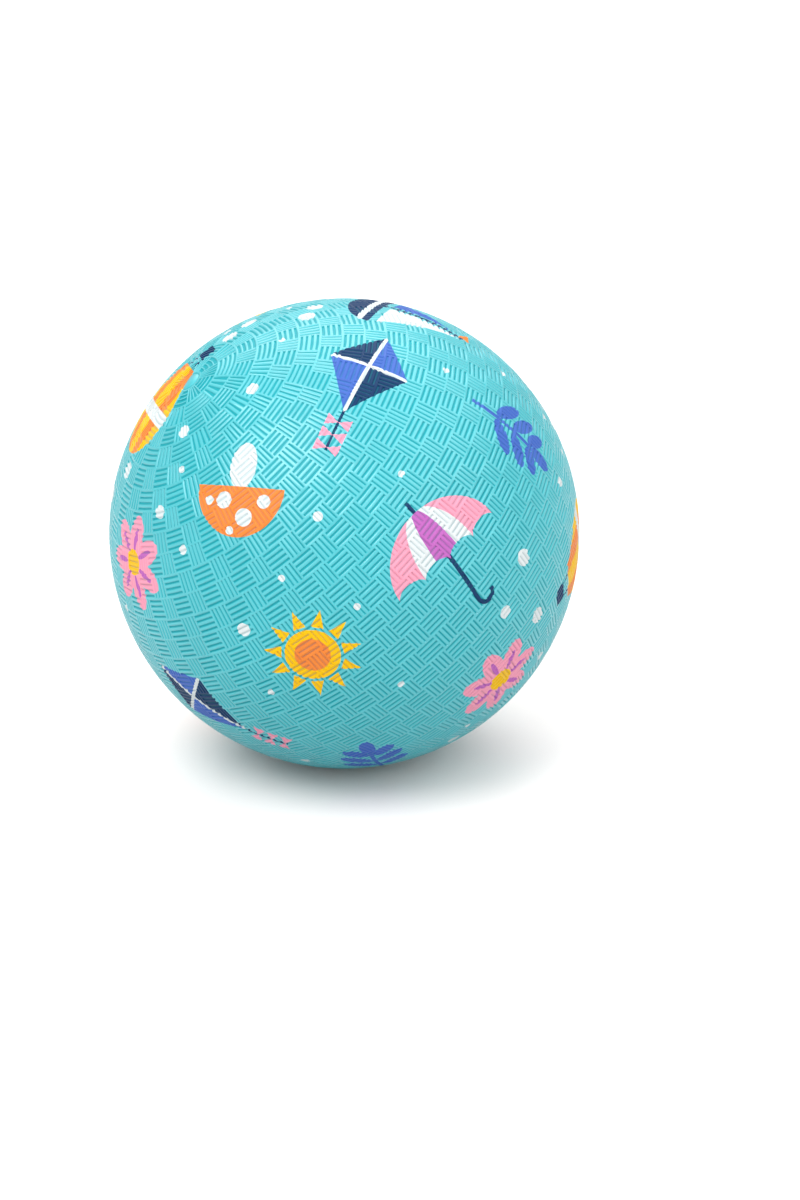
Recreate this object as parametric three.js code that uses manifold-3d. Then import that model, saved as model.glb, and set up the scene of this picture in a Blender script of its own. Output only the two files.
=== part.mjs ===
// Inflatable rubber playground ball of the seven-inch class: a moulded rubber cover over an airtight
// bladder, with a plug valve that an inflating needle passes through.
// Millimetres, +Z up, origin at the ball's centre. The valve faces +Y, and the ball stands on its -Z side,
// where its own weight presses a small flat into the rubber.

import * as THREE from 'three';
import { mergeVertices } from 'three/addons/utils/BufferGeometryUtils.js';
import Module from 'manifold-3d';

// Ball
const BALL_DIAMETER = 178;
const COVER_WALL = 1.6;
const BLADDER_WALL = 1.0;
const CONTACT_DEPTH = 0.5; // how far the standing ball is pressed flat by its weight
const SEAT_GAP = 0.3; // clearance between two pieces that lie against each other

// Smooth land moulded round the valve hole
const LAND_DIAMETER = 20;
const LAND_RISE = 0.4; // how far the land's rim stands above the round of the ball
const LAND_SLOPE = 0.8; // width of the rim's sloping side

// Valve core: the plug that seals the ball
const CORE_LENGTH = 20;
const HEAD_DIAMETER = 8.4;
const HEAD_THICKNESS = 1.5;
const HEAD_EDGE = 0.4; // rounding of the head's upper edge
const STEM_DIAMETER = 5.8;
const RING_DIAMETER = 6.4; // sealing rings round the stem
const RING_WIDTH = 1.4;
const RING_PITCH = 2.6;
const RING_COUNT = 3;
const FIRST_RING_DEPTH = 5.5; // from the head's top to the first ring
const TIP_DIAMETER = 3.6;
const TIP_LENGTH = 2.4;
const CHANNEL_DIAMETER = 1.7; // takes an inflating needle
const CHANNEL_DEPTH = 13;
const FUNNEL_DIAMETER = 3.2; // leads the needle in
const FUNNEL_DEPTH = 1.2;
const SLIT_KERF = 0.3; // lips at the tip that close when the needle leaves
const SLIT_WIDTH = 3.0;

// Valve housing: the rubber tube that carries the core
const NECK_RIM = 1.5; // lip round the core's head
const BARREL_WALL = 2.0;
const BARREL_END_WALL = 1.3; // the barrel thins towards its inner end
const HOUSING_LENGTH = 16;
const HOUSING_EDGE = 0.5; // chamfer of the neck and of the barrel's end
const FLANGE_DIAMETER = 24;
const FLANGE_THICKNESS = 1.2;

// Valve patch: the disc that bonds the housing's flange to the bladder
const PATCH_DIAMETER = 44;
const PATCH_THICKNESS = 1.0;
const PATCH_FEATHER = 2.5; // width of its thinned rim

// Facets
const COVER_FACETS = 72; // round the valve axis, on the outside of the cover
const COVER_STEPS = 34; // along the cover's outside, from pole to valve
const LAYER_FACETS = 40; // round the valve axis, on every inner layer
const LAYER_STEPS = 16; // along an inner layer, from pole to the patch's rim
const PATCH_STEPS = 4; // along an inner layer, from the patch's rim to the axis
const FACE_STEPS = 3; // along a curved face of the flange or the patch
const CORE_FACETS = 32;
const CHANNEL_FACETS = 16;

const ballRadius = BALL_DIAMETER / 2;
const cavityRadius = ballRadius - COVER_WALL;
const bladderRadius = cavityRadius - SEAT_GAP;
const bladderInnerRadius = bladderRadius - BLADDER_WALL;
const standHeight = ballRadius - CONTACT_DEPTH;

const landRadius = LAND_DIAMETER / 2;
const landTop = heightOnSphere(ballRadius, landRadius) + LAND_RISE;

const headSocketRadius = HEAD_DIAMETER / 2 + SEAT_GAP;
const neckRadius = headSocketRadius + NECK_RIM;
const valveHoleRadius = neckRadius + SEAT_GAP;
const boreRadius = RING_DIAMETER / 2 + SEAT_GAP;
const barrelRadius = boreRadius + BARREL_WALL;
const barrelEndRadius = boreRadius + BARREL_END_WALL;
const flangeRadius = FLANGE_DIAMETER / 2;
const flangeTopSphere = bladderInnerRadius - SEAT_GAP;
const flangeUnderSphere = flangeTopSphere - FLANGE_THICKNESS;
const patchRadius = PATCH_DIAMETER / 2;

const wasm = await Module();
wasm.setup();

// Height along the valve axis of a point on a sphere round the ball's centre, at a given reach from the axis.
function heightOnSphere(sphereRadius, reach) {
  return Math.sqrt(sphereRadius ** 2 - reach ** 2);
}

// Points of a sphere's section, from one reach from the valve axis to another, on the valve's side.
function capArc(sphereRadius, fromReach, toReach, steps) {
  const from = Math.acos(fromReach / sphereRadius);
  const to = Math.acos(toReach / sphereRadius);
  return new THREE.EllipseCurve(0, 0, sphereRadius, sphereRadius, from, to, to < from).getPoints(steps);
}

function point(reach, height) {
  return new THREE.Vector2(reach, height);
}

// Turns a section round the valve axis. The section runs counter-clockwise, with reach to the right.
function revolve(section, facets) {
  return new THREE.LatheGeometry(section, facets);
}

// The same section closed on itself, for a piece with a hole along the valve axis.
function revolveRing(section, facets) {
  return revolve([...section, section[0].clone()], facets);
}

// Closed solid of a geometry, ready to be cut and joined.
function toSolid(geometry) {
  const bare = geometry.clone();
  bare.deleteAttribute('normal');
  bare.deleteAttribute('uv');
  const merged = mergeVertices(bare);
  const corners = [];
  for (let i = 0; i < merged.index.count; i += 3) {
    const [a, b, c] = [0, 1, 2].map((k) => merged.index.getX(i + k));
    if (a !== b && b !== c && c !== a) corners.push(a, b, c);
  }
  const mesh = new wasm.Mesh({
    numProp: 3,
    vertProperties: merged.attributes.position.array,
    triVerts: Uint32Array.from(corners),
  });
  return new wasm.Manifold(mesh);
}

function toGeometry(solid) {
  const mesh = solid.getMesh();
  const geometry = new THREE.BufferGeometry();
  geometry.setAttribute('position', new THREE.BufferAttribute(mesh.vertProperties, 3));
  geometry.setIndex(new THREE.BufferAttribute(mesh.triVerts, 1));
  geometry.computeVertexNormals();
  return geometry;
}

// Everything above the level that a layer is pressed down to where the ball stands.
function aboveFloor(depthBelowCentre) {
  const span = BALL_DIAMETER * 2;
  const box = new THREE.BoxGeometry(span, span, span);
  return toSolid(box.translate(0, 0, span / 2 - depthBelowCentre));
}

// Round bar along the valve axis, from the ball's centre outwards: cuts the valve's hole through a layer.
function valveHole() {
  const bar = new THREE.CylinderGeometry(valveHoleRadius, valveHoleRadius, BALL_DIAMETER, LAYER_FACETS);
  return toSolid(bar.translate(0, BALL_DIAMETER / 2, 0));
}

// One inner face of the ball's wall, pressed flat where the ball stands. Its facets are the same on each
// layer, and finer under the valve patch, so that the layers keep their gap.
function layerBall(sphereRadius, depthBelowCentre) {
  const patchEdge = Math.acos(patchRadius / sphereRadius);
  const arc = (from, to, steps) =>
    new THREE.EllipseCurve(0, 0, sphereRadius, sphereRadius, from, to).getPoints(steps);
  const wide = arc(-Math.PI / 2, patchEdge, LAYER_STEPS);
  const underPatch = arc(patchEdge, Math.PI / 2, PATCH_STEPS).slice(1);
  const ball = toSolid(revolve([...wide, ...underPatch], LAYER_FACETS));
  return ball.intersect(aboveFloor(depthBelowCentre));
}

// Cover: the moulded rubber skin, with a smooth land round its valve hole.
function coverGeometry() {
  const landFoot = Math.acos((landRadius + LAND_SLOPE) / ballRadius);
  const round = new THREE.EllipseCurve(0, 0, ballRadius, ballRadius, -Math.PI / 2, landFoot);
  const section = [...round.getPoints(COVER_STEPS), point(landRadius, landTop), point(0, landTop)];
  const outside = toSolid(revolve(section, COVER_FACETS)).intersect(aboveFloor(standHeight));
  const cavity = layerBall(cavityRadius, standHeight - COVER_WALL);
  return toGeometry(outside.subtract(cavity).subtract(valveHole()));
}

// Bladder: the airtight liner, pressed against the cover's inside.
function bladderGeometry() {
  const outsideDepth = standHeight - COVER_WALL - SEAT_GAP;
  const outside = layerBall(bladderRadius, outsideDepth);
  const inside = layerBall(bladderInnerRadius, outsideDepth - BLADDER_WALL);
  return toGeometry(outside.subtract(inside).subtract(valveHole()));
}

// Valve patch: a curved disc bonded to the bladder, stepped inwards to cover the housing's flange.
function patchGeometry() {
  const holeRadius = barrelRadius + SEAT_GAP;
  const stepRadius = flangeRadius + SEAT_GAP;
  const outerFace = bladderInnerRadius - SEAT_GAP;
  const middleFace = flangeUnderSphere - SEAT_GAP;
  const section = [
    ...capArc(middleFace - PATCH_THICKNESS, holeRadius, stepRadius + PATCH_THICKNESS / 2, FACE_STEPS),
    ...capArc(outerFace - PATCH_THICKNESS, stepRadius + PATCH_THICKNESS, patchRadius - PATCH_FEATHER, FACE_STEPS),
    ...capArc(outerFace, patchRadius, stepRadius, FACE_STEPS),
    ...capArc(middleFace, stepRadius, holeRadius, FACE_STEPS),
  ];
  return revolveRing(section, LAYER_FACETS);
}

// Valve housing: a rubber tube with a flange inside the bladder and a socket for the core's head.
function housingGeometry() {
  const barrelEnd = landTop - HOUSING_LENGTH;
  const socketFloor = landTop - HEAD_THICKNESS - SEAT_GAP;
  const section = [
    point(boreRadius, barrelEnd),
    point(barrelEndRadius - HOUSING_EDGE, barrelEnd),
    point(barrelEndRadius, barrelEnd + HOUSING_EDGE),
    ...capArc(flangeUnderSphere, barrelRadius, flangeRadius, FACE_STEPS),
    ...capArc(flangeTopSphere, flangeRadius, neckRadius, FACE_STEPS),
    point(neckRadius, landTop - HOUSING_EDGE),
    point(neckRadius - HOUSING_EDGE, landTop),
    point(headSocketRadius, landTop),
    point(headSocketRadius, socketFloor),
    point(boreRadius, socketFloor),
  ];
  return revolveRing(section, LAYER_FACETS);
}

// Sealing rings of the core's stem, from the innermost to the one nearest the head.
function ringSections() {
  const stemRadius = STEM_DIAMETER / 2;
  const rings = [];
  for (let i = RING_COUNT - 1; i >= 0; i -= 1) {
    const middle = landTop - FIRST_RING_DEPTH - i * RING_PITCH;
    rings.push(
      point(stemRadius, middle - RING_WIDTH / 2),
      point(RING_DIAMETER / 2, middle),
      point(stemRadius, middle + RING_WIDTH / 2),
    );
  }
  return rings;
}

// Slit through the core's tip, up into the needle channel.
function slitSolid() {
  const length = CORE_LENGTH - CHANNEL_DEPTH + CHANNEL_DIAMETER;
  const top = landTop - CHANNEL_DEPTH + CHANNEL_DIAMETER;
  const blade = new THREE.BoxGeometry(SLIT_WIDTH, length * 2, SLIT_KERF);
  return toSolid(blade.translate(0, top - length, 0));
}

// Needle channel with its lead-in, open at the head.
function channelSolid() {
  const channelRadius = CHANNEL_DIAMETER / 2;
  const section = [
    point(0, landTop - CHANNEL_DEPTH),
    point(channelRadius, landTop - CHANNEL_DEPTH),
    point(channelRadius, landTop - FUNNEL_DEPTH),
    point(FUNNEL_DIAMETER / 2, landTop),
    point(FUNNEL_DIAMETER / 2, landTop + FUNNEL_DEPTH),
    point(0, landTop + FUNNEL_DEPTH),
  ];
  return toSolid(revolve(section, CHANNEL_FACETS));
}

// Valve core: a headed rubber plug that is pushed into the housing and can be pulled out.
function coreGeometry() {
  const tip = landTop - CORE_LENGTH;
  const headUnderside = landTop - HEAD_THICKNESS;
  const section = [
    point(0, tip),
    point(TIP_DIAMETER / 2, tip),
    point(STEM_DIAMETER / 2, tip + TIP_LENGTH),
    ...ringSections(),
    point(STEM_DIAMETER / 2, headUnderside),
    point(HEAD_DIAMETER / 2, headUnderside),
    point(HEAD_DIAMETER / 2, landTop - HEAD_EDGE),
    point(HEAD_DIAMETER / 2 - HEAD_EDGE, landTop),
    point(0, landTop),
  ];
  const plug = toSolid(revolve(section, CORE_FACETS));
  return toGeometry(plug.subtract(channelSolid()).subtract(slitSolid()));
}

const coverRubber = new THREE.MeshStandardMaterial({ color: '#4fc3cd', roughness: 0.45, metalness: 0 });
const linerRubber = new THREE.MeshStandardMaterial({ color: '#2a2b2d', roughness: 0.7, metalness: 0 });
const patchRubber = new THREE.MeshStandardMaterial({ color: '#3a3b3d', roughness: 0.8, metalness: 0 });
const housingRubber = new THREE.MeshStandardMaterial({ color: '#1f2022', roughness: 0.6, metalness: 0 });
const coreRubber = new THREE.MeshStandardMaterial({ color: '#34363a', roughness: 0.5, metalness: 0 });

const pieces = [
  ['cover', coverGeometry(), coverRubber],
  ['bladder', bladderGeometry(), linerRubber],
  ['valve_patch', patchGeometry(), patchRubber],
  ['valve_housing', housingGeometry(), housingRubber],
  ['valve_core', coreGeometry(), coreRubber],
];

const ball = new THREE.Group();
for (const [name, geometry, material] of pieces) {
  const mesh = new THREE.Mesh(geometry, material);
  mesh.name = name;
  ball.add(mesh);
}

export default ball;
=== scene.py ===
import math
import random

import bmesh
import bpy
import numpy as np
from mathutils import Matrix, Vector


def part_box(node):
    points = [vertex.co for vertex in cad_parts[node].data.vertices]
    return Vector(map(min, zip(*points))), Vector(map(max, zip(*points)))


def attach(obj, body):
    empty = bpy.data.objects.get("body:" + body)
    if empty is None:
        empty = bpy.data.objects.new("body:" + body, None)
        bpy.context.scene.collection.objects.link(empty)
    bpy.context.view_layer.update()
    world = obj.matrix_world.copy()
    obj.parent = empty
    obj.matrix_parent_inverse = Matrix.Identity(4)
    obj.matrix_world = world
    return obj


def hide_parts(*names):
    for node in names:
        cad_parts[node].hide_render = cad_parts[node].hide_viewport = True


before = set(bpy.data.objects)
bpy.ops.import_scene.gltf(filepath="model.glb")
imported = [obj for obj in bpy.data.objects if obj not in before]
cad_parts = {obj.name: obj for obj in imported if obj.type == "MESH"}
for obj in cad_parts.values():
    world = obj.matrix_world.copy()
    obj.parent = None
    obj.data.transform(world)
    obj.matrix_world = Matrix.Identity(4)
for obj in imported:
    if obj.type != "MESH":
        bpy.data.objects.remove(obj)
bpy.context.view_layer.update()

# Bladder: the airtight liner that holds the air. It is butyl rubber, vulcanised as a seamless ball, smooth
# and black under a bloom of the talc that keeps it from sticking to the cover while that is moulded over it.
MM = 0.001


def paint(code):
    """Linear colour of a colour given as red, green and blue in hexadecimal."""
    shares = [int(code[i:i + 2], 16) / 255 for i in (0, 2, 4)]
    return (*[c / 12.92 if c <= 0.04045 else ((c + 0.055) / 1.055) ** 2.4 for c in shares], 1.0)


def rubber_grain_group():
    """Cloudy tone, dust specks and fine grain that all the rubber pieces share."""
    group = bpy.data.node_groups.new("rubber_grain", "ShaderNodeTree")
    for name, size in (("Cloud Scale", 40.0), ("Speck Scale", 700.0), ("Grain Scale", 3200.0)):
        group.interface.new_socket(name, in_out="INPUT", socket_type="NodeSocketFloat").default_value = size
    for name in ("Tone", "Specks", "Grain"):
        group.interface.new_socket(name, in_out="OUTPUT", socket_type="NodeSocketFloat")
    taken = group.nodes.new("NodeGroupInput")
    given = group.nodes.new("NodeGroupOutput")
    place = group.nodes.new("ShaderNodeTexCoord")
    layers = (("Cloud Scale", "Tone", 3.0), ("Speck Scale", "Specks", 2.0), ("Grain Scale", "Grain", 1.0))
    for size, name, depth in layers:
        noise = group.nodes.new("ShaderNodeTexNoise")
        noise.inputs["Detail"].default_value = depth
        group.links.new(place.outputs["Object"], noise.inputs["Vector"])
        group.links.new(taken.outputs[size], noise.inputs["Scale"])
        group.links.new(noise.outputs["Fac"], given.inputs[name])
    return group


rubber_grain = rubber_grain_group()


def plain_rubber(name, body, bloom, bloom_from, roughness, grain_height):
    """Unprinted rubber: a body colour under a pale bloom, with a fine moulded grain."""
    bloom_full = 0.8
    gloss_spread = 0.1
    material = bpy.data.materials.new(name)
    material.use_nodes = True
    nodes, links = material.node_tree.nodes, material.node_tree.links
    shader = nodes["Principled BSDF"]
    grain = nodes.new("ShaderNodeGroup")
    grain.node_tree = rubber_grain
    dusted = nodes.new("ShaderNodeMapRange")
    dusted.inputs["From Min"].default_value = bloom_from
    dusted.inputs["From Max"].default_value = bloom_full
    links.new(grain.outputs["Specks"], dusted.inputs["Value"])
    colour = nodes.new("ShaderNodeMix")
    colour.data_type = "RGBA"
    colour.inputs["A"].default_value = paint(body)
    colour.inputs["B"].default_value = paint(bloom)
    links.new(dusted.outputs["Result"], colour.inputs["Factor"])
    links.new(colour.outputs["Result"], shader.inputs["Base Color"])
    gloss = nodes.new("ShaderNodeMapRange")
    gloss.inputs["To Min"].default_value = roughness - gloss_spread
    gloss.inputs["To Max"].default_value = roughness + gloss_spread
    links.new(grain.outputs["Tone"], gloss.inputs["Value"])
    links.new(gloss.outputs["Result"], shader.inputs["Roughness"])
    bump = nodes.new("ShaderNodeBump")
    bump.inputs["Distance"].default_value = grain_height
    bump.inputs["Strength"].default_value = 0.5
    links.new(grain.outputs["Grain"], bump.inputs["Height"])
    links.new(bump.outputs["Normal"], shader.inputs["Normal"])
    return material


def arc(radius, start, end, steps):
    """Reach and height of points on a circle round the ball's centre, by angle from the valve axis."""
    for i in range(steps + 1):
        angle = start + (end - start) * i / steps
        yield radius * math.sin(angle), radius * math.cos(angle)


def turned(name, outline, closed, rounding):
    """A piece turned about the valve axis from its reaches and heights, with its ring edges rounded."""
    facets = 96
    sharp_bend = math.radians(30)
    merge_distance = 0.001 * MM
    shape = bmesh.new()
    corners = [shape.verts.new((reach, height, 0)) for reach, height in outline]
    following = corners[1:] + corners[:1] if closed else corners[1:]
    edges = [shape.edges.new(pair) for pair in zip(corners, following)]
    bmesh.ops.spin(
        shape, geom=corners + edges, cent=(0, 0, 0), axis=(0, 1, 0), dvec=(0, 0, 0),
        angle=2 * math.pi, steps=facets, use_merge=True,
    )
    bmesh.ops.remove_doubles(shape, verts=shape.verts, dist=merge_distance)
    bmesh.ops.recalc_face_normals(shape, faces=shape.faces)
    bends = [e for e in shape.edges if len(e.link_faces) == 2 and e.calc_face_angle() > sharp_bend]
    bmesh.ops.bevel(
        shape, geom=bends, offset=rounding, offset_type="OFFSET", segments=3, profile=0.5,
        affect="EDGES", clamp_overlap=True, material=-1,
    )
    for face in shape.faces:
        face.smooth = True
    mesh = bpy.data.meshes.new(name)
    shape.to_mesh(mesh)
    shape.free()
    piece = bpy.data.objects.new(name, mesh)
    bpy.context.scene.collection.objects.link(piece)
    return piece


bladder_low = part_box("bladder")[0]
bladder_radius = -bladder_low[1]
bladder_flat = bladder_low[2]
bladder_wall = 1.0 * MM
bladder_hole_radius = 6.3 * MM
bladder_steps = 48
bladder_rounding = 0.1 * MM
bladder_inside = bladder_radius - bladder_wall
bladder = turned("bladder_shell", [
    *arc(bladder_inside, math.pi, math.asin(bladder_hole_radius / bladder_inside), bladder_steps),
    *arc(bladder_radius, math.asin(bladder_hole_radius / bladder_radius), math.pi, bladder_steps),
], False, bladder_rounding)
for vert in bladder.data.vertices:
    outside = vert.co.length > bladder_radius - bladder_wall / 2
    vert.co.z = max(vert.co.z, bladder_flat if outside else bladder_flat + bladder_wall)
bladder.data.materials.append(plain_rubber(
    "bladder_rubber", "2A2B2D", "8F8E8A", bloom_from=0.45, roughness=0.7, grain_height=0.06 * MM,
))
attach(bladder, "ball")
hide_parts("bladder")

# Valve patch: a disc of calendered sheet rubber with a feathered rim. It is cemented to the inside of the
# bladder over the valve housing's flange, so that the housing can't be pushed or pulled out.


def band(radius, start, end):
    """A stretch of an outline on a sphere round the ball's centre, between two reaches."""
    steps = 5
    return arc(radius, math.asin(start / radius), math.asin(end / radius), steps)


patch_hole_radius = 5.8 * MM
patch_step = 12.3 * MM
patch_shoulder = 12.8 * MM
patch_shoulder_foot = 13.3 * MM
patch_feather = 19.5 * MM
patch_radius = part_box("valve_patch")[1][0]
patch_face = 85.8 * MM
patch_back = 84.8 * MM
patch_stepped_face = 84.3 * MM
patch_stepped_back = 83.3 * MM
patch_rounding = 0.1 * MM
patch = turned("valve_patch_disc", [
    *band(patch_stepped_back, patch_hole_radius, patch_shoulder),
    *band(patch_back, patch_shoulder_foot, patch_feather),
    *band(patch_face, patch_radius, patch_step),
    *band(patch_stepped_face, patch_step, patch_hole_radius),
], True, patch_rounding)
patch.data.materials.append(plain_rubber(
    "patch_rubber", "3A3B3D", "77777A", bloom_from=0.5, roughness=0.8, grain_height=0.08 * MM,
))
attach(patch, "ball")
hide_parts("valve_patch")

# Valve housing: a moulded tube of black rubber. Its flange lies between bladder and patch, its neck comes
# out through the cover, and a socket in the neck takes the head of the valve core.
housing_low, housing_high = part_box("valve_housing")
core_low, core_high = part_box("valve_core")
seat_gap = 0.3 * MM
valve_face = housing_high[1]
flange_radius = housing_high[0]
head_radius = core_high[0]
head_thickness = 1.5 * MM
socket_radius = head_radius + seat_gap
neck_rim = 1.5 * MM
neck_radius = socket_radius + neck_rim
bore_radius = 3.5 * MM
barrel_radius = 5.5 * MM
barrel_end_radius = 4.8 * MM
flange_top = 85.8 * MM
flange_under = 84.6 * MM
housing_rounding = 0.25 * MM


def on_sphere(radius, reach):
    """Height along the valve axis of a point on a sphere round the ball's centre, at this reach."""
    return math.sqrt(radius ** 2 - reach ** 2)


barrel_end = housing_low[1]
socket_floor = valve_face - head_thickness - seat_gap
housing = turned("valve_housing_tube", [
    (bore_radius, barrel_end),
    (barrel_end_radius, barrel_end),
    (barrel_radius, on_sphere(flange_under, barrel_radius)),
    (flange_radius, on_sphere(flange_under, flange_radius)),
    (flange_radius, on_sphere(flange_top, flange_radius)),
    (neck_radius, on_sphere(flange_top, neck_radius)),
    (neck_radius, valve_face),
    (socket_radius, valve_face),
    (socket_radius, socket_floor),
    (bore_radius, socket_floor),
], True, housing_rounding)
housing.data.materials.append(plain_rubber(
    "housing_rubber", "1F2022", "5A5B5E", bloom_from=0.62, roughness=0.55, grain_height=0.05 * MM,
))
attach(housing, "ball")
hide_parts("valve_housing")

# Valve core: a headed plug of softer rubber, pushed into the housing with a drop of glycerine. The needle
# goes down its channel and parts the slit lips at its tip, which close again behind it. Rings round the
# stem seal it.
stem_radius = 2.9 * MM
ring_radius = 3.2 * MM
ring_width = 1.4 * MM
ring_pitch = 2.6 * MM
first_ring_depth = 5.5 * MM
ring_count = 3
tip_radius = 1.8 * MM
tip_length = 2.4 * MM
channel_radius = 0.85 * MM
channel_depth = 13 * MM
funnel_radius = 1.6 * MM
funnel_depth = 1.2 * MM
slit_kerf = 0.3 * MM
slit_width = 3.0 * MM
core_rounding = 0.2 * MM


def carve(piece, tool, operation):
    """Joins a tool shape to a piece, or cuts it out of the piece, and does away with the tool."""
    change = piece.modifiers.new(operation.lower(), "BOOLEAN")
    change.operation = operation
    change.solver = "EXACT"
    change.object = tool
    shaped = bpy.data.meshes.new_from_object(piece.evaluated_get(bpy.context.evaluated_depsgraph_get()))
    piece.modifiers.clear()
    piece.data = shaped
    bpy.data.objects.remove(tool)


def ring_outline(depth):
    """One sealing ring as a low round ridge, from its inner side to its outer side."""
    steps = 6
    for i in range(steps + 1):
        swell = math.sin(math.pi * i / steps)
        reach = stem_radius + (ring_radius - stem_radius) * swell
        yield reach, valve_face - depth + ring_width * (i / steps - 0.5)


core_outline = [(0, core_low[1]), (tip_radius, core_low[1]), (stem_radius, core_low[1] + tip_length)]
for ring in reversed(range(ring_count)):
    core_outline += ring_outline(first_ring_depth + ring * ring_pitch)
core_outline += [
    (stem_radius, valve_face - head_thickness),
    (head_radius, valve_face - head_thickness),
    (head_radius, valve_face),
    (funnel_radius, valve_face),
    (channel_radius, valve_face - funnel_depth),
    (channel_radius, valve_face - channel_depth),
    (0, valve_face - channel_depth),
]
core = turned("valve_core_plug", core_outline, False, core_rounding)
slit = bmesh.new()
bmesh.ops.create_cube(slit, size=1)
slit_top = valve_face - channel_depth + channel_radius
slit_length = 2 * (slit_top - core_low[1])
bmesh.ops.scale(slit, vec=(slit_width, slit_length, slit_kerf), verts=slit.verts)
bmesh.ops.translate(slit, vec=(0, slit_top - slit_length / 2, 0), verts=slit.verts)
slit_mesh = bpy.data.meshes.new("slit")
slit.to_mesh(slit_mesh)
slit.free()
slit_blade = bpy.data.objects.new("slit", slit_mesh)
bpy.context.scene.collection.objects.link(slit_blade)
carve(core, slit_blade, "DIFFERENCE")
core.data.materials.append(plain_rubber(
    "core_rubber", "34363A", "6C6E72", bloom_from=0.62, roughness=0.42, grain_height=0.04 * MM,
))
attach(core, "valve_plug")
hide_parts("valve_core")

# Cover: the skin of the ball, natural rubber moulded over the bladder in a round mould. The mould is cut
# with rings of basket weave about its own axis: blocks of four grooves that lie along the ring or stand
# across it.
cover_low, cover_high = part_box("cover")
crest_radius = -cover_low[1]
floor_level = cover_low[2]
wall = 1.6 * MM
ring_total = 34
cap_angle = math.radians(3)
cap_rise = 0.1 * MM
equator_pairs = 36
fewest_pairs = 3
grooves = 4
lying_steps = 5
ring_gap = 0.04 * MM
rib_half_width = 0.42 * MM
rib_end_width = 0.25 * MM
flank_width = 0.36 * MM
flank_end_width = 0.25 * MM
groove_depth = 0.45 * MM
bent_below = 16
pair_steps = grooves + lying_steps


def ring_of_blocks(low, high, pairs, start):
    """One ring of the weave about the mould's axis, between two latitudes, with its grooves sunk."""
    room_share = 0.95
    level_share = 0.1
    across_limit = 0.7
    ring = bmesh.new()
    rungs = [low + (high - low) * i / grooves for i in range(grooves + 1)]
    spots = [Vector((math.cos(lat), 0, math.sin(lat))) * crest_radius for lat in rungs]
    column = [ring.verts.new(Matrix.Rotation(start, 3, "Z") @ spot) for spot in spots]
    rails = [ring.edges.new(pair) for pair in zip(column, column[1:])]
    step = 2 * math.pi / (pairs * pair_steps)
    narrowest = step * crest_radius * min(math.cos(low), math.cos(high))
    slimness = min(1, room_share * narrowest / (2 * rib_half_width + 2 * flank_width))
    bmesh.ops.spin(
        ring, geom=column + rails, cent=(0, 0, 0), axis=(0, 0, 1), dvec=(0, 0, 0),
        angle=2 * math.pi, steps=pairs * pair_steps, use_merge=True,
    )
    bmesh.ops.recalc_face_normals(ring, faces=ring.faces)
    inside_blocks = []
    bends = []
    for edge in ring.edges:
        middle = (edge.verts[0].co + edge.verts[1].co) / 2
        place = (math.atan2(middle.y, middle.x) - start) / step
        rise = abs(edge.verts[0].co.z - edge.verts[1].co.z)
        along_ring = rise < level_share * abs(spots[1].z - spots[0].z)
        if along_ring:
            upright = math.floor(place) % pair_steps < grooves
            if upright and len(edge.link_faces) == 2:
                inside_blocks.append(edge)
        elif round(place) % pair_steps > grooves:
            halfway = round(place) % pair_steps == grooves + lying_steps // 2
            at_rim = edge.verts[0].is_boundary or edge.verts[1].is_boundary
            bent = pairs < bent_below or (halfway and at_rim)
            (bends if bent else inside_blocks).append(edge)
    bmesh.ops.dissolve_edges(ring, edges=inside_blocks, use_verts=True)
    bmesh.ops.dissolve_edges(ring, edges=bends, use_verts=False)
    if ring.faces[:][0].normal.dot(ring.faces[:][0].calc_center_median()) < 0:
        bmesh.ops.reverse_faces(ring, faces=ring.faces)
    mouths = ring.faces[:]
    for full_width, end_width, depth in (
        (rib_half_width, rib_end_width, 0), (flank_width, flank_end_width, groove_depth),
    ):
        width = full_width * slimness
        bmesh.ops.inset_individual(ring, faces=mouths, thickness=width, depth=-depth, use_even_offset=True)
        for mouth in mouths:
            middle = mouth.calc_center_bounds()
            along = mouth.calc_tangent_edge()
            reach = max((vert.co - middle).dot(along) for vert in mouth.verts)
            for vert in mouth.verts:
                vert.co += along * (vert.co - middle).dot(along) * (width - end_width) / reach
            for edge in mouth.edges:
                course = (edge.verts[1].co - edge.verts[0].co).normalized()
                edge.smooth = abs(course.dot(along)) >= across_limit
    for mouth in mouths:
        for vert in mouth.verts:
            for edge in vert.link_edges:
                edge.smooth = False
    return ring


weave = bmesh.new()
ring_height = (math.pi - 2 * cap_angle) / ring_total
south = cap_angle - math.pi / 2
for number in range(ring_total):
    twin_latitude = south + (number // 2 * 2 + 1) * ring_height
    pairs = max(fewest_pairs, round(equator_pairs * math.cos(twin_latitude)))
    half_pair = math.pi / pairs
    low = south + number * ring_height + ring_gap / crest_radius
    high = south + (number + 1) * ring_height - ring_gap / crest_radius
    ring = ring_of_blocks(low, high, pairs, number % 2 * half_pair)
    ring_mesh = bpy.data.meshes.new("ring")
    ring.to_mesh(ring_mesh)
    ring.free()
    weave.from_mesh(ring_mesh)
    bpy.data.meshes.remove(ring_mesh)

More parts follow.
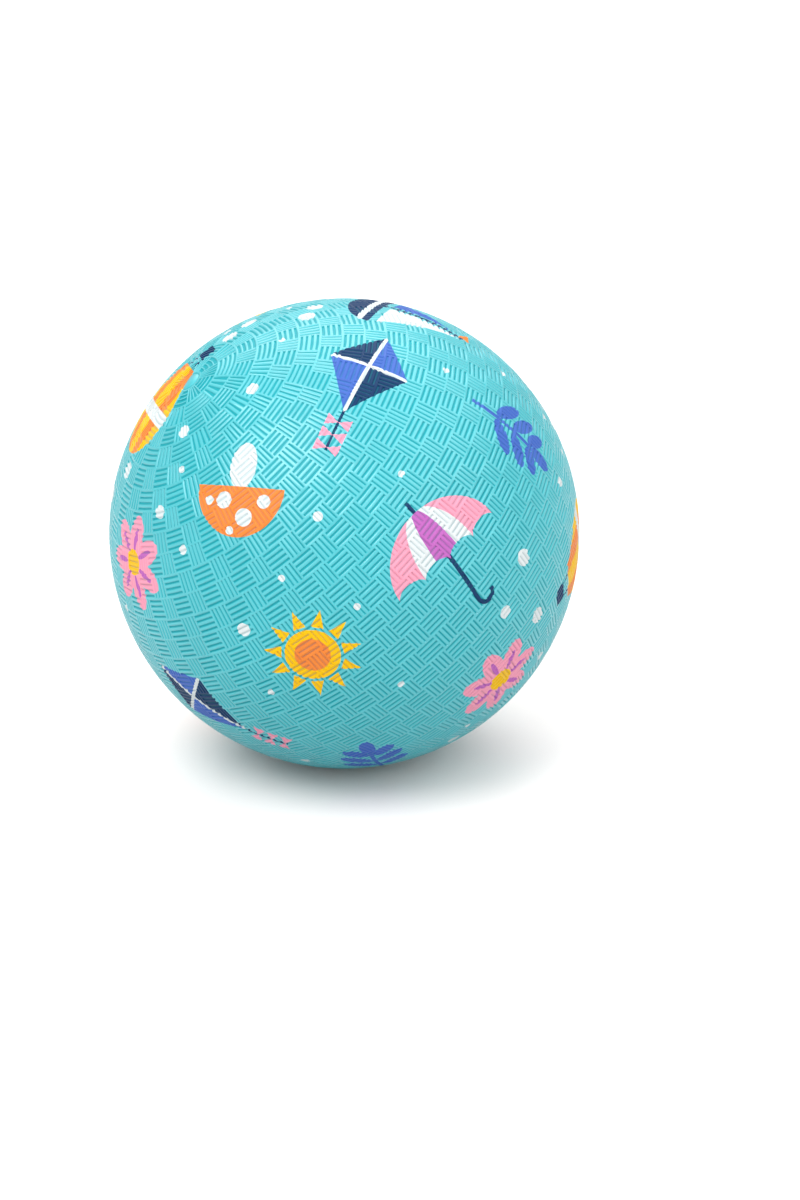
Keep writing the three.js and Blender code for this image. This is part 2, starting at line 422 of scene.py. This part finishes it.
# The joins between the rings, and a small round cap with one round groove at each of the mould's poles.
rims = [[] for _ in range(ring_total + 1)]
for edge in weave.edges:
    if len(edge.link_faces) == 1:
        middle = (edge.verts[0].co + edge.verts[1].co).normalized()
        rims[round((math.asin(middle.z) - south) / ring_height)].append(edge)
for rim in rims[1:-1]:
    bmesh.ops.bridge_loops(weave, edges=rim)
caps = [bmesh.ops.contextual_create(weave, geom=rim)["faces"][0] for rim in (rims[0], rims[-1])]
bmesh.ops.recalc_face_normals(weave, faces=weave.faces)
if weave.calc_volume(signed=True) < 0:
    bmesh.ops.reverse_faces(weave, faces=weave.faces)
for width, height in ((rib_half_width, 0), (flank_width, -groove_depth), (flank_width, groove_depth)):
    bmesh.ops.inset_individual(weave, faces=caps, thickness=width, depth=height, use_even_offset=True)
bmesh.ops.poke(weave, faces=caps, offset=cap_rise)

# The mould's axis leans to the left of the photograph, and the ball flattens where it rests.
mould_axis = Vector((-0.6314, -0.2430, 0.7363)).normalized()
mould_lean = mould_axis.to_track_quat("Z", "Y").to_matrix()
bmesh.ops.rotate(weave, cent=(0, 0, 0), matrix=mould_lean, verts=weave.verts)
for vert in weave.verts:
    vert.co *= min(1, crest_radius / vert.co.length)
    vert.co.z = max(vert.co.z, floor_level)

# The inside of the wall.
lining_facets = 72
lining_rings = 36
lining = bmesh.ops.create_uvsphere(
    weave, u_segments=lining_facets, v_segments=lining_rings, radius=crest_radius - wall,
)["verts"]
for vert in lining:
    vert.co.z = max(vert.co.z, floor_level + wall)
lining_faces = list(dict.fromkeys(face for vert in lining for face in vert.link_faces))
bmesh.ops.reverse_faces(weave, faces=lining_faces)
for face in weave.faces:
    face.smooth = True
weave_mesh = bpy.data.meshes.new("cover_skin")
weave.to_mesh(weave_mesh)
weave.free()
cover = bpy.data.objects.new("cover_skin", weave_mesh)
bpy.context.scene.collection.objects.link(cover)

# The smooth land round the valve, and the hole through it for the housing's neck.
land_top = cover_high[1]
land_radius = 10 * MM
land_slope = 1.6
land_lift = 0.2 * MM
land_rounding = 0.2 * MM
land_foot = crest_radius - wall + land_lift
carve(cover, turned("land", [
    (0, land_top),
    (land_radius, land_top),
    (land_radius + (land_top - land_foot) * land_slope, land_foot),
    (0, land_foot),
], False, land_rounding), "UNION")
hole_radius = neck_radius + seat_gap
hole_from = 0.9 * crest_radius
hole_to = 1.1 * crest_radius
carve(cover, turned("hole", [
    (0, hole_from),
    (hole_radius, hole_from),
    (hole_radius, hole_to),
    (0, hole_to),
], False, 0), "DIFFERENCE")

# The print: plain dots and eight small designs of screen ink, each drawn in units of its own radius.
yellow, orange, pink, purple = "DEAE04", "D87A34", "DE90A6", "AC5CA8"
white, navy, blue = "C8CECF", "0A3158", "3E60AE"


class Design:
    """A node group that gives the ink's colour and cover at a place on the print sheet."""

    def __init__(self, name):
        self.tree = bpy.data.node_groups.new(name, "ShaderNodeTree")
        self.tree.interface.new_socket("Place", in_out="INPUT", socket_type="NodeSocketVector")
        self.tree.interface.new_socket("Ink", in_out="OUTPUT", socket_type="NodeSocketColor")
        self.tree.interface.new_socket("Cover", in_out="OUTPUT", socket_type="NodeSocketFloat")
        self.given = self.tree.nodes.new("NodeGroupOutput")
        self.place = self.tree.nodes.new("NodeGroupInput").outputs["Place"]
        self.last_ink = self.last_cover = None

    def node(self, kind, operation, values):
        made = self.tree.nodes.new(kind)
        made.operation = operation
        for socket, value in zip(made.inputs, values):
            if isinstance(value, bpy.types.NodeSocket):
                self.tree.links.new(value, socket)
            else:
                socket.default_value = value
        return made

    def number(self, operation, *values):
        return self.node("ShaderNodeMath", operation, values).outputs["Value"]

    def measure(self, operation, *values):
        return self.node("ShaderNodeVectorMath", operation, values).outputs["Value"]

    def apart(self, place):
        split = self.tree.nodes.new("ShaderNodeSeparateXYZ")
        self.tree.links.new(place, split.inputs["Vector"])
        return split.outputs["X"], split.outputs["Y"]

    def local(self, x, y, wide, high, turn, place):
        """The place as seen from a shape's own middle, in units of its half-width and half-height."""
        mapping = self.tree.nodes.new("ShaderNodeMapping")
        mapping.vector_type = "TEXTURE"
        mapping.inputs["Location"].default_value = (x, y, 0)
        mapping.inputs["Rotation"].default_value = (0, 0, math.radians(turn))
        mapping.inputs["Scale"].default_value = (wide, high, 1)
        self.tree.links.new(place or self.place, mapping.inputs["Vector"])
        return mapping.outputs["Vector"]

    def spokes(self, count):
        """The place turned back into the first of so many equal sectors, which lies along x."""
        x, y = self.apart(self.place)
        sector = 2 * math.pi / count
        angle = self.number("PINGPONG", self.number("ARCTAN2", y, x), sector / 2)
        reach = self.measure("LENGTH", self.place)
        joined = self.tree.nodes.new("ShaderNodeCombineXYZ")
        self.tree.links.new(self.number("MULTIPLY", reach, self.number("COSINE", angle)), joined.inputs["X"])
        self.tree.links.new(self.number("MULTIPLY", reach, self.number("SINE", angle)), joined.inputs["Y"])
        return joined.outputs["Vector"]

    def oval(self, x, y, wide, high, turn=0, place=None):
        return self.number("LESS_THAN", self.measure("LENGTH", self.local(x, y, wide, high, turn, place)), 1)

    def bar(self, x, y, wide, high, turn=0, place=None):
        across, along = self.apart(self.local(x, y, wide, high, turn, place))
        widest = self.number("MAXIMUM", self.number("ABSOLUTE", across), self.number("ABSOLUTE", along))
        return self.number("LESS_THAN", widest, 1)

    def half(self, x, y, limit):
        """The side of a straight line on which the dot product with (x, y) stays under the limit."""
        return self.number("LESS_THAN", self.measure("DOT_PRODUCT", self.place, (x, y, 0)), limit)

    def polygon(self, *corners, place=None):
        """A convex shape with its corners in anticlockwise order."""
        inside = None
        for (x0, y0), (x1, y1) in zip(corners, corners[1:] + corners[:1]):
            out_x, out_y = y1 - y0, x0 - x1
            beyond = self.measure("DOT_PRODUCT", place or self.place, (out_x, out_y, 0))
            within = self.number("LESS_THAN", beyond, out_x * x0 + out_y * y0)
            inside = self.both(inside, within) if inside else within
        return inside

    def both(self, one, other):
        return self.number("MULTIPLY", one, other)

    def either(self, one, other):
        return self.number("MAXIMUM", one, other)

    def without(self, one, other):
        return self.number("MAXIMUM", self.number("SUBTRACT", one, other), 0)

    def stamp(self, shape, colour):
        mix = self.tree.nodes.new("ShaderNodeMix")
        mix.data_type = "RGBA"
        mix.inputs["A"].default_value = mix.inputs["B"].default_value = paint(colour)
        self.tree.links.new(shape, mix.inputs["Factor"])
        if self.last_ink:
            self.tree.links.new(self.last_ink, mix.inputs["A"])
            shape = self.either(self.last_cover, shape)
        self.last_ink, self.last_cover = mix.outputs["Result"], shape
        self.tree.links.new(self.last_ink, self.given.inputs["Ink"])
        self.tree.links.new(self.last_cover, self.given.inputs["Cover"])


dot = Design("dot")
dot.stamp(dot.oval(0, 0, 1, 1), white)

sun = Design("sun")
sun.stamp(sun.polygon((0.62, 0.13), (0.62, -0.13), (1, 0), place=sun.spokes(11)), yellow)
sun.stamp(sun.oval(0, 0, 0.56, 0.56), yellow)
sun.stamp(sun.oval(0, 0, 0.36, 0.36), orange)

boat = Design("boat")
hull = boat.both(boat.oval(0, -0.4, 0.84, 0.52), boat.half(0, 1, -0.4))
boat.stamp(hull, navy)
boat.stamp(boat.both(hull, boat.bar(0, -0.56, 1, 0.05)), white)
boat.stamp(boat.bar(0, 0.22, 0.035, 0.66), navy)
boat.stamp(boat.polygon((0.09, -0.29), (0.78, -0.29), (0.09, 0.84)), white)
boat.stamp(boat.polygon((-0.09, -0.29), (-0.09, 0.62), (-0.6, -0.29)), blue)
boat.stamp(boat.polygon((-0.03, 0.78), (-0.03, 0.98), (-0.34, 0.88)), orange)

flower = Design("flower")
petal = flower.spokes(7)
flower.stamp(flower.oval(0.56, 0, 0.44, 0.25, place=petal), pink)
flower.stamp(flower.oval(0.5, 0, 0.24, 0.06, place=petal), purple)
flower.stamp(flower.oval(0, 0, 0.27, 0.27), yellow)

umbrella = Design("umbrella")
canopy = umbrella.both(umbrella.oval(0, -0.05, 0.95, 0.86), umbrella.half(0, -1, 0.05))
for scallop in (-0.7125, -0.2375, 0.2375, 0.7125):
    canopy = umbrella.without(canopy, umbrella.oval(scallop, -0.05, 0.2375, 0.13))
umbrella.stamp(umbrella.bar(0, -0.4, 0.035, 0.45), navy)
hook = umbrella.without(umbrella.oval(0.13, -0.83, 0.165, 0.165), umbrella.oval(0.13, -0.83, 0.095, 0.095))
umbrella.stamp(umbrella.both(hook, umbrella.half(0, 1, -0.83)), navy)
umbrella.stamp(umbrella.bar(0, 0.88, 0.03, 0.12), navy)
umbrella.stamp(canopy, pink)
umbrella.stamp(umbrella.both(canopy, umbrella.oval(0, -0.05, 0.475, 0.9)), white)
umbrella.stamp(umbrella.both(canopy, umbrella.oval(0, -0.05, 0.2, 0.9)), purple)

sprig = Design("sprig")
sprig.stamp(sprig.bar(0, -0.15, 0.04, 0.8), blue)
sprig.stamp(sprig.oval(0, 0.74, 0.14, 0.27), blue)
for height, length in ((-0.42, 0.34), (-0.02, 0.32), (0.36, 0.26)):
    for lean in (-1, 1):
        reach = 0.04 + length * 0.8
        sprig.stamp(sprig.oval(lean * reach, height + length * 0.62, 0.13, length, -50 * lean), blue)

balloon = Design("balloon")
envelope = balloon.either(balloon.oval(0, 0.3, 0.68, 0.68), balloon.both(
    balloon.polygon((-0.6, 0), (0, -1.05), (0.6, 0)), balloon.half(0, -1, 0.52)))
balloon.stamp(balloon.bar(-0.13, -0.62, 0.02, 0.16, 8), navy)
balloon.stamp(balloon.bar(0.13, -0.62, 0.02, 0.16, -8), navy)
balloon.stamp(balloon.bar(0, -0.84, 0.14, 0.12), navy)
balloon.stamp(envelope, yellow)
balloon.stamp(balloon.both(envelope, balloon.oval(0, 0.1, 0.46, 1.05)), orange)
balloon.stamp(balloon.both(envelope, balloon.oval(0, 0.1, 0.18, 1.05)), yellow)
balloon.stamp(balloon.both(envelope, balloon.bar(0, 0.3, 1, 0.1)), white)

kite = Design("kite")
sail = kite.polygon((0, 1), (-0.52, 0.38), (0, -0.42), (0.52, 0.38))
kite.stamp(kite.bar(0, -0.68, 0.018, 0.3), navy)
for y in (-0.58, -0.76, -0.94):
    kite.stamp(kite.polygon((0, y), (-0.16, y + 0.08), (-0.16, y - 0.08)), pink)
    kite.stamp(kite.polygon((0, y), (0.16, y - 0.08), (0.16, y + 0.08)), pink)
kite.stamp(sail, blue)
kite.stamp(kite.both(sail, kite.both(kite.half(1, 0, 0), kite.half(0, -1, -0.38))), navy)
kite.stamp(kite.both(sail, kite.both(kite.half(-1, 0, 0), kite.half(0, 1, 0.38))), navy)
kite.stamp(kite.both(sail, kite.either(kite.bar(0, 0, 0.025, 1.2), kite.bar(0, 0.38, 1, 0.025))), white)

toadstool = Design("toadstool")
toadstool.stamp(toadstool.oval(0, -0.55, 0.27, 0.45), white)
cap = toadstool.both(toadstool.oval(0, -0.15, 0.9, 0.95), toadstool.half(0, -1, 0.15))
toadstool.stamp(cap, orange)
cap_dots = (
    (-0.52, 0.1, 0.13), (-0.15, 0.42, 0.17), (0.3, 0.12, 0.16), (0.12, 0.68, 0.08), (0.62, 0.14, 0.09),
)
for x, y, size in cap_dots:
    toadstool.stamp(toadstool.oval(x, y, size, size), white)

# Where each design is printed, with its radius in millimetres: spots spread evenly over the ball, kept
# clear of the valve and of the underside, with dots between.
kinds = [
    (boat, 25), (sun, 18), (kite, 29), (flower, 18),
    (balloon, 26), (sprig, 21), (umbrella, 25), (toadstool, 19),
]
spots = []
layout_seed = 11
chance = random.Random(layout_seed)
spot_count = 26
underside = -0.85
valve_axis = Vector((0, 1, 0))
design_clearance = 14 * MM
dot_clearance = 16 * MM
dot_gap = 5 * MM
dot_sizes = (1.3, 1.8, 2.5, 3.2)
dots_wanted = 110
most_tries = 4000
not_yet_printed = 9
golden_turn = math.pi * (3 - math.sqrt(5))


def apartness(kind, middle):
    """Angle to the nearest spot of the same design. A design without a spot comes first, in its order."""
    angles = [middle.angle(spot[0]) for spot in spots if spot[3] == kind]
    return min(angles, default=not_yet_printed - kind)


for i in range(spot_count):
    height = 1 - (2 * i + 1) / spot_count
    width = math.sqrt(1 - height ** 2)
    middle = Vector((width * math.cos(i * golden_turn), width * math.sin(i * golden_turn), height))
    kind = max(range(len(kinds)), key=lambda number: apartness(number, middle))
    size = kinds[kind][1] * MM
    turn = chance.uniform(0, 2 * math.pi)
    if height > underside and middle.angle(valve_axis) * crest_radius > size + design_clearance:
        spots.append((middle, size, turn, kind))
tries = 0
dots = 0
while dots < dots_wanted and tries < most_tries:
    tries += 1
    middle = Vector([chance.gauss(0, 1) for _ in range(3)]).normalized()
    size = chance.choice(dot_sizes) * MM
    gap = min(middle.angle(spot[0]) * crest_radius - spot[1] for spot in spots)
    if gap > dot_gap and middle.angle(valve_axis) * crest_radius > dot_clearance:
        spots.append((middle, size, 0, len(kinds)))
        dots += 1

# The print sheet: a map that gives every face of the outside to the nearest spot, or to blank rubber.
sheet_margin = 3 * MM
inside_share = 0.7
tile = 6.0
far_row = 10 * tile
tiny = 1e-9
mesh = cover.data
points = np.empty(len(mesh.vertices) * 3)
mesh.vertices.foreach_get("co", points)
points = points.reshape(-1, 3)
radii = np.linalg.norm(points, axis=1)
directions = points / radii[:, None]
corner_points = np.empty(len(mesh.loops), dtype=np.int32)
mesh.loops.foreach_get("vertex_index", corner_points)
face_corners = np.empty(len(mesh.polygons), dtype=np.int32)
mesh.polygons.foreach_get("loop_total", face_corners)
face_middles = np.empty(len(mesh.polygons) * 3)
mesh.polygons.foreach_get("center", face_middles)
face_middles = face_middles.reshape(-1, 3)
face_radii = np.linalg.norm(face_middles, axis=1)
spot_middles = np.array([spot[0] for spot in spots])
spot_sizes = np.array([spot[1] for spot in spots])
face_directions = face_middles / face_radii[:, None]
face_angles = np.arccos(np.clip(face_directions @ spot_middles.T, -1, 1))
nearness = face_angles * crest_radius - spot_sizes
face_spot = nearness.argmin(axis=1)
inside = face_radii < crest_radius - inside_share * wall
blank = (nearness.min(axis=1) > sheet_margin) | inside
corner_spot = np.repeat(face_spot, face_corners)
corner_blank = np.repeat(blank, face_corners)
sheet_axes = []
for middle, size, turn, kind in spots:
    right = Vector((0, 0, 1)).cross(middle).normalized()
    right = Matrix.Rotation(turn, 3, middle) @ right
    sheet_axes.append((right, middle.cross(right)))
sheet_axes = np.array(sheet_axes)
corner_directions = directions[corner_points]
flat = np.einsum("caj,cj->ca", sheet_axes[corner_spot], corner_directions)
away = np.arccos(np.clip(np.einsum("cj,cj->c", spot_middles[corner_spot], corner_directions), -1, 1))
stretch = away * crest_radius / spot_sizes[corner_spot] / np.maximum(np.linalg.norm(flat, axis=1), tiny)
sheet = flat * stretch[:, None]
tiles = np.array([(kind * tile, 0) for kind in range(len(kinds))] + [(0, far_row)])
sheet += tiles[np.array([spot[3] for spot in spots])[corner_spot]]
sheet[corner_blank] = (0, -far_row)
mesh.uv_layers.new(name="print_sheet").data.foreach_set("uv", sheet.ravel())

# A flat map of the skin, half of it in each of two discs and the inside of the wall in two small ones.
outer_disc, inner_disc = 0.28, 0.12
outer_offset, inner_offset = 0.21, 0.37
half_sign = np.where(face_middles[:, 1] < 0, -1.0, 1.0)
corner_half = np.repeat(half_sign, face_corners)
corner_inside = np.repeat(inside, face_corners)
outward = np.clip(corner_directions[:, 1] * corner_half, -1, 1)
spread = np.sqrt(1 - outward) / np.maximum(np.sqrt(1 - outward ** 2), tiny)
disc_radius = np.where(corner_inside, inner_disc, outer_disc)
disc_middle = np.where(corner_inside, inner_offset, outer_offset) * corner_half
flat_map = np.stack([
    0.5 + disc_middle + corner_directions[:, 0] * corner_half * spread * disc_radius,
    0.5 + disc_middle * np.where(corner_inside, -1, 1) + corner_directions[:, 2] * spread * disc_radius,
], axis=1)
mesh.uv_layers.new(name="OFBake").data.foreach_set("uv", flat_map.ravel())

# How high each point lies in the weave, from 0 in a groove to 1 on a rib and on the inside of the wall.
relief_margin = 0.3 * MM
relief = np.clip(1 - (crest_radius - radii) / groove_depth, 0, 1)
relief[radii < crest_radius - groove_depth - relief_margin] = 1
mesh.attributes.new("relief", "FLOAT", "POINT").data.foreach_set("value", relief)

# The rubber of the skin is turquoise, duller in the grooves and glossy on the ribs, with painted shade: its
# colour is darker down in the grooves and lighter on the ribs. The screen ink on it is matt and lies a
# little thinner in the grooves.
cover_rubber = bpy.data.materials.new("cover_rubber")
cover_rubber.use_nodes = True
nodes, links = cover_rubber.node_tree.nodes, cover_rubber.node_tree.links
shader = nodes["Principled BSDF"]
shader.inputs["IOR"].default_value = 1.5
shader.inputs["Specular IOR Level"].default_value = 0.1
shader.inputs["Coat IOR"].default_value = 1.75
shader.inputs["Coat Roughness"].default_value = 0.35
sheet_place = nodes.new("ShaderNodeUVMap")
sheet_place.uv_map = "print_sheet"
grain = nodes.new("ShaderNodeGroup")
grain.node_tree = rubber_grain
height_map = nodes.new("ShaderNodeAttribute")
height_map.attribute_name = "relief"
# Painted shade: the colour goes from a darker turquoise in the grooves to a lighter one on the ribs, by the
# relief.
painted_groove_shade = nodes.new("ShaderNodeMix")
painted_groove_shade.data_type = "RGBA"
painted_groove_shade.inputs["A"].default_value = paint("1E98A2")
painted_groove_shade.inputs["B"].default_value = paint("36ACB5")
links.new(height_map.outputs["Fac"], painted_groove_shade.inputs["Factor"])
cloudy = nodes.new("ShaderNodeHueSaturation")
links.new(painted_groove_shade.outputs["Result"], cloudy.inputs["Color"])
shade = nodes.new("ShaderNodeMapRange")
shade.inputs["To Min"].default_value = 0.92
shade.inputs["To Max"].default_value = 1.08
links.new(grain.outputs["Tone"], shade.inputs["Value"])
links.new(shade.outputs["Result"], cloudy.inputs["Value"])
thinner = nodes.new("ShaderNodeMapRange")
thinner.inputs["From Max"].default_value = 0.35
thinner.inputs["To Min"].default_value = 0.8
links.new(height_map.outputs["Fac"], thinner.inputs["Value"])
printed = cloudy.outputs["Color"]
inked = None
for kind, design in enumerate([design for design, size in kinds] + [dot]):
    shifted = nodes.new("ShaderNodeVectorMath")
    shifted.operation = "SUBTRACT"
    shifted.inputs[1].default_value = (*tiles[kind], 0)
    links.new(sheet_place.outputs["UV"], shifted.inputs[0])
    drawn = nodes.new("ShaderNodeGroup")
    drawn.node_tree = design.tree
    links.new(shifted.outputs["Vector"], drawn.inputs["Place"])
    layer = nodes.new("ShaderNodeMix")
    layer.data_type = "RGBA"
    covered = nodes.new("ShaderNodeMath")
    covered.operation = "MULTIPLY"
    links.new(drawn.outputs["Cover"], covered.inputs[0])
    links.new(thinner.outputs["Result"], covered.inputs[1])
    links.new(covered.outputs["Value"], layer.inputs["Factor"])
    links.new(printed, layer.inputs["A"])
    links.new(drawn.outputs["Ink"], layer.inputs["B"])
    printed = layer.outputs["Result"]
    if inked:
        covered_before, inked = inked, nodes.new("ShaderNodeMath")
        inked.operation = "MAXIMUM"
        links.new(covered_before.outputs["Value"], inked.inputs[0])
        links.new(covered.outputs["Value"], inked.inputs[1])
    else:
        inked = covered
links.new(printed, shader.inputs["Base Color"])
shine = nodes.new("ShaderNodeMapRange")
shine.inputs["To Min"].default_value = 0.12
links.new(height_map.outputs["Fac"], shine.inputs["Value"])
matt_ink = nodes.new("ShaderNodeMapRange")
matt_ink.inputs["To Min"].default_value = 1.0
matt_ink.inputs["To Max"].default_value = 0.06
links.new(inked.outputs["Value"], matt_ink.inputs["Value"])
shine_left = nodes.new("ShaderNodeMath")
shine_left.operation = "MULTIPLY"
links.new(shine.outputs["Result"], shine_left.inputs[0])
links.new(matt_ink.outputs["Result"], shine_left.inputs[1])
links.new(shine_left.outputs["Value"], shader.inputs["Coat Weight"])
gloss = nodes.new("ShaderNodeMapRange")
gloss.inputs["To Min"].default_value = 0.28
gloss.inputs["To Max"].default_value = 0.42
links.new(grain.outputs["Specks"], gloss.inputs["Value"])
links.new(gloss.outputs["Result"], shader.inputs["Roughness"])
bump = nodes.new("ShaderNodeBump")
bump.inputs["Distance"].default_value = 0.03 * MM
bump.inputs["Strength"].default_value = 0.5
links.new(grain.outputs["Grain"], bump.inputs["Height"])
links.new(bump.outputs["Normal"], shader.inputs["Normal"])
cover.data.materials.clear()
cover.data.materials.append(cover_rubber)
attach(cover, "ball")
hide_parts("cover")

# Studio: a floor that the ball stands on, soft boxes above it, at both sides and behind, and a white room.
# The floor shows white to the camera and throws less light back at the ball.
floor_reach = 4
floor_shape = bmesh.new()
bmesh.ops.create_grid(floor_shape, x_segments=1, y_segments=1, size=floor_reach)
bmesh.ops.translate(floor_shape, vec=(0, 0, floor_level), verts=floor_shape.verts)
floor_mesh = bpy.data.meshes.new("floor")
floor_shape.to_mesh(floor_mesh)
floor_shape.free()
floor = bpy.data.objects.new("floor", floor_mesh)
bpy.context.scene.collection.objects.link(floor)
floor_paint = bpy.data.materials.new("floor_paint")
floor_paint.use_nodes = True
nodes, links = floor_paint.node_tree.nodes, floor_paint.node_tree.links
floor_shader = nodes["Principled BSDF"]
floor_shader.inputs["Roughness"].default_value = 0.8
ray = nodes.new("ShaderNodeLightPath")
floor_tone = nodes.new("ShaderNodeMix")
floor_tone.data_type = "RGBA"
floor_tone.inputs["A"].default_value = paint("C8C8C8")
floor_tone.inputs["B"].default_value = paint("F5EFED")
links.new(ray.outputs["Is Camera Ray"], floor_tone.inputs["Factor"])
links.new(floor_tone.outputs["Result"], floor_shader.inputs["Base Color"])
floor.data.materials.append(floor_paint)

room = bpy.data.worlds.new("room")
room.use_nodes = True
room.node_tree.nodes["Background"].inputs["Color"].default_value = (1, 1, 1, 1)
room.node_tree.nodes["Background"].inputs["Strength"].default_value = 0.6
bpy.context.scene.world = room


def lamp(name, strength, spread, place):
    """A soft box of so many degrees across that faces the ball from this side."""
    light = bpy.data.lights.new(name, "SUN")
    light.energy = strength
    light.angle = math.radians(spread)
    holder = bpy.data.objects.new(name, light)
    holder.location = place
    holder.rotation_euler = (-Vector(place)).to_track_quat("-Z", "Y").to_euler()
    bpy.context.scene.collection.objects.link(holder)


lamp("key_box", strength=1.58, spread=40, place=(-0.4, -0.4, 0.82))
lamp("left_box", strength=1.2, spread=60, place=(-0.45, -0.65, 0.6))
lamp("right_box", strength=1.02, spread=60, place=(0.7, -0.6, 0.5))
lamp("top_box", strength=0.95, spread=60, place=(0.45, 0.1, 0.88))
lamp("back_box", strength=1.1, spread=50, place=(-0.1, 0.6, 0.8))
bpy.context.scene.view_settings.view_transform = "Standard"

# Camera: a portrait frame of 800 by 1200, in which the ball's outline has its measured place and size.
frame_wide, frame_high = 800, 1200
outline_x, outline_y, outline_radius = 344.3, 533.3, 235.3
elevation = math.radians(18)
distance = 12 * crest_radius
focal_pixels = outline_radius * math.sqrt(distance ** 2 - crest_radius ** 2) / crest_radius
camera_data = bpy.data.cameras.new("camera")
camera_data.sensor_fit = "VERTICAL"
camera_data.sensor_height = 36
camera_data.lens = focal_pixels / frame_high * camera_data.sensor_height
camera_data.shift_x = (frame_wide / 2 - outline_x) / frame_high
camera_data.shift_y = (outline_y - frame_high / 2) / frame_high
camera = bpy.data.objects.new("camera", camera_data)
camera.location = (0, -distance * math.cos(elevation), distance * math.sin(elevation))
camera.rotation_euler = (math.pi / 2 - elevation, 0, 0)
bpy.context.scene.collection.objects.link(camera)
bpy.context.scene.camera = camera
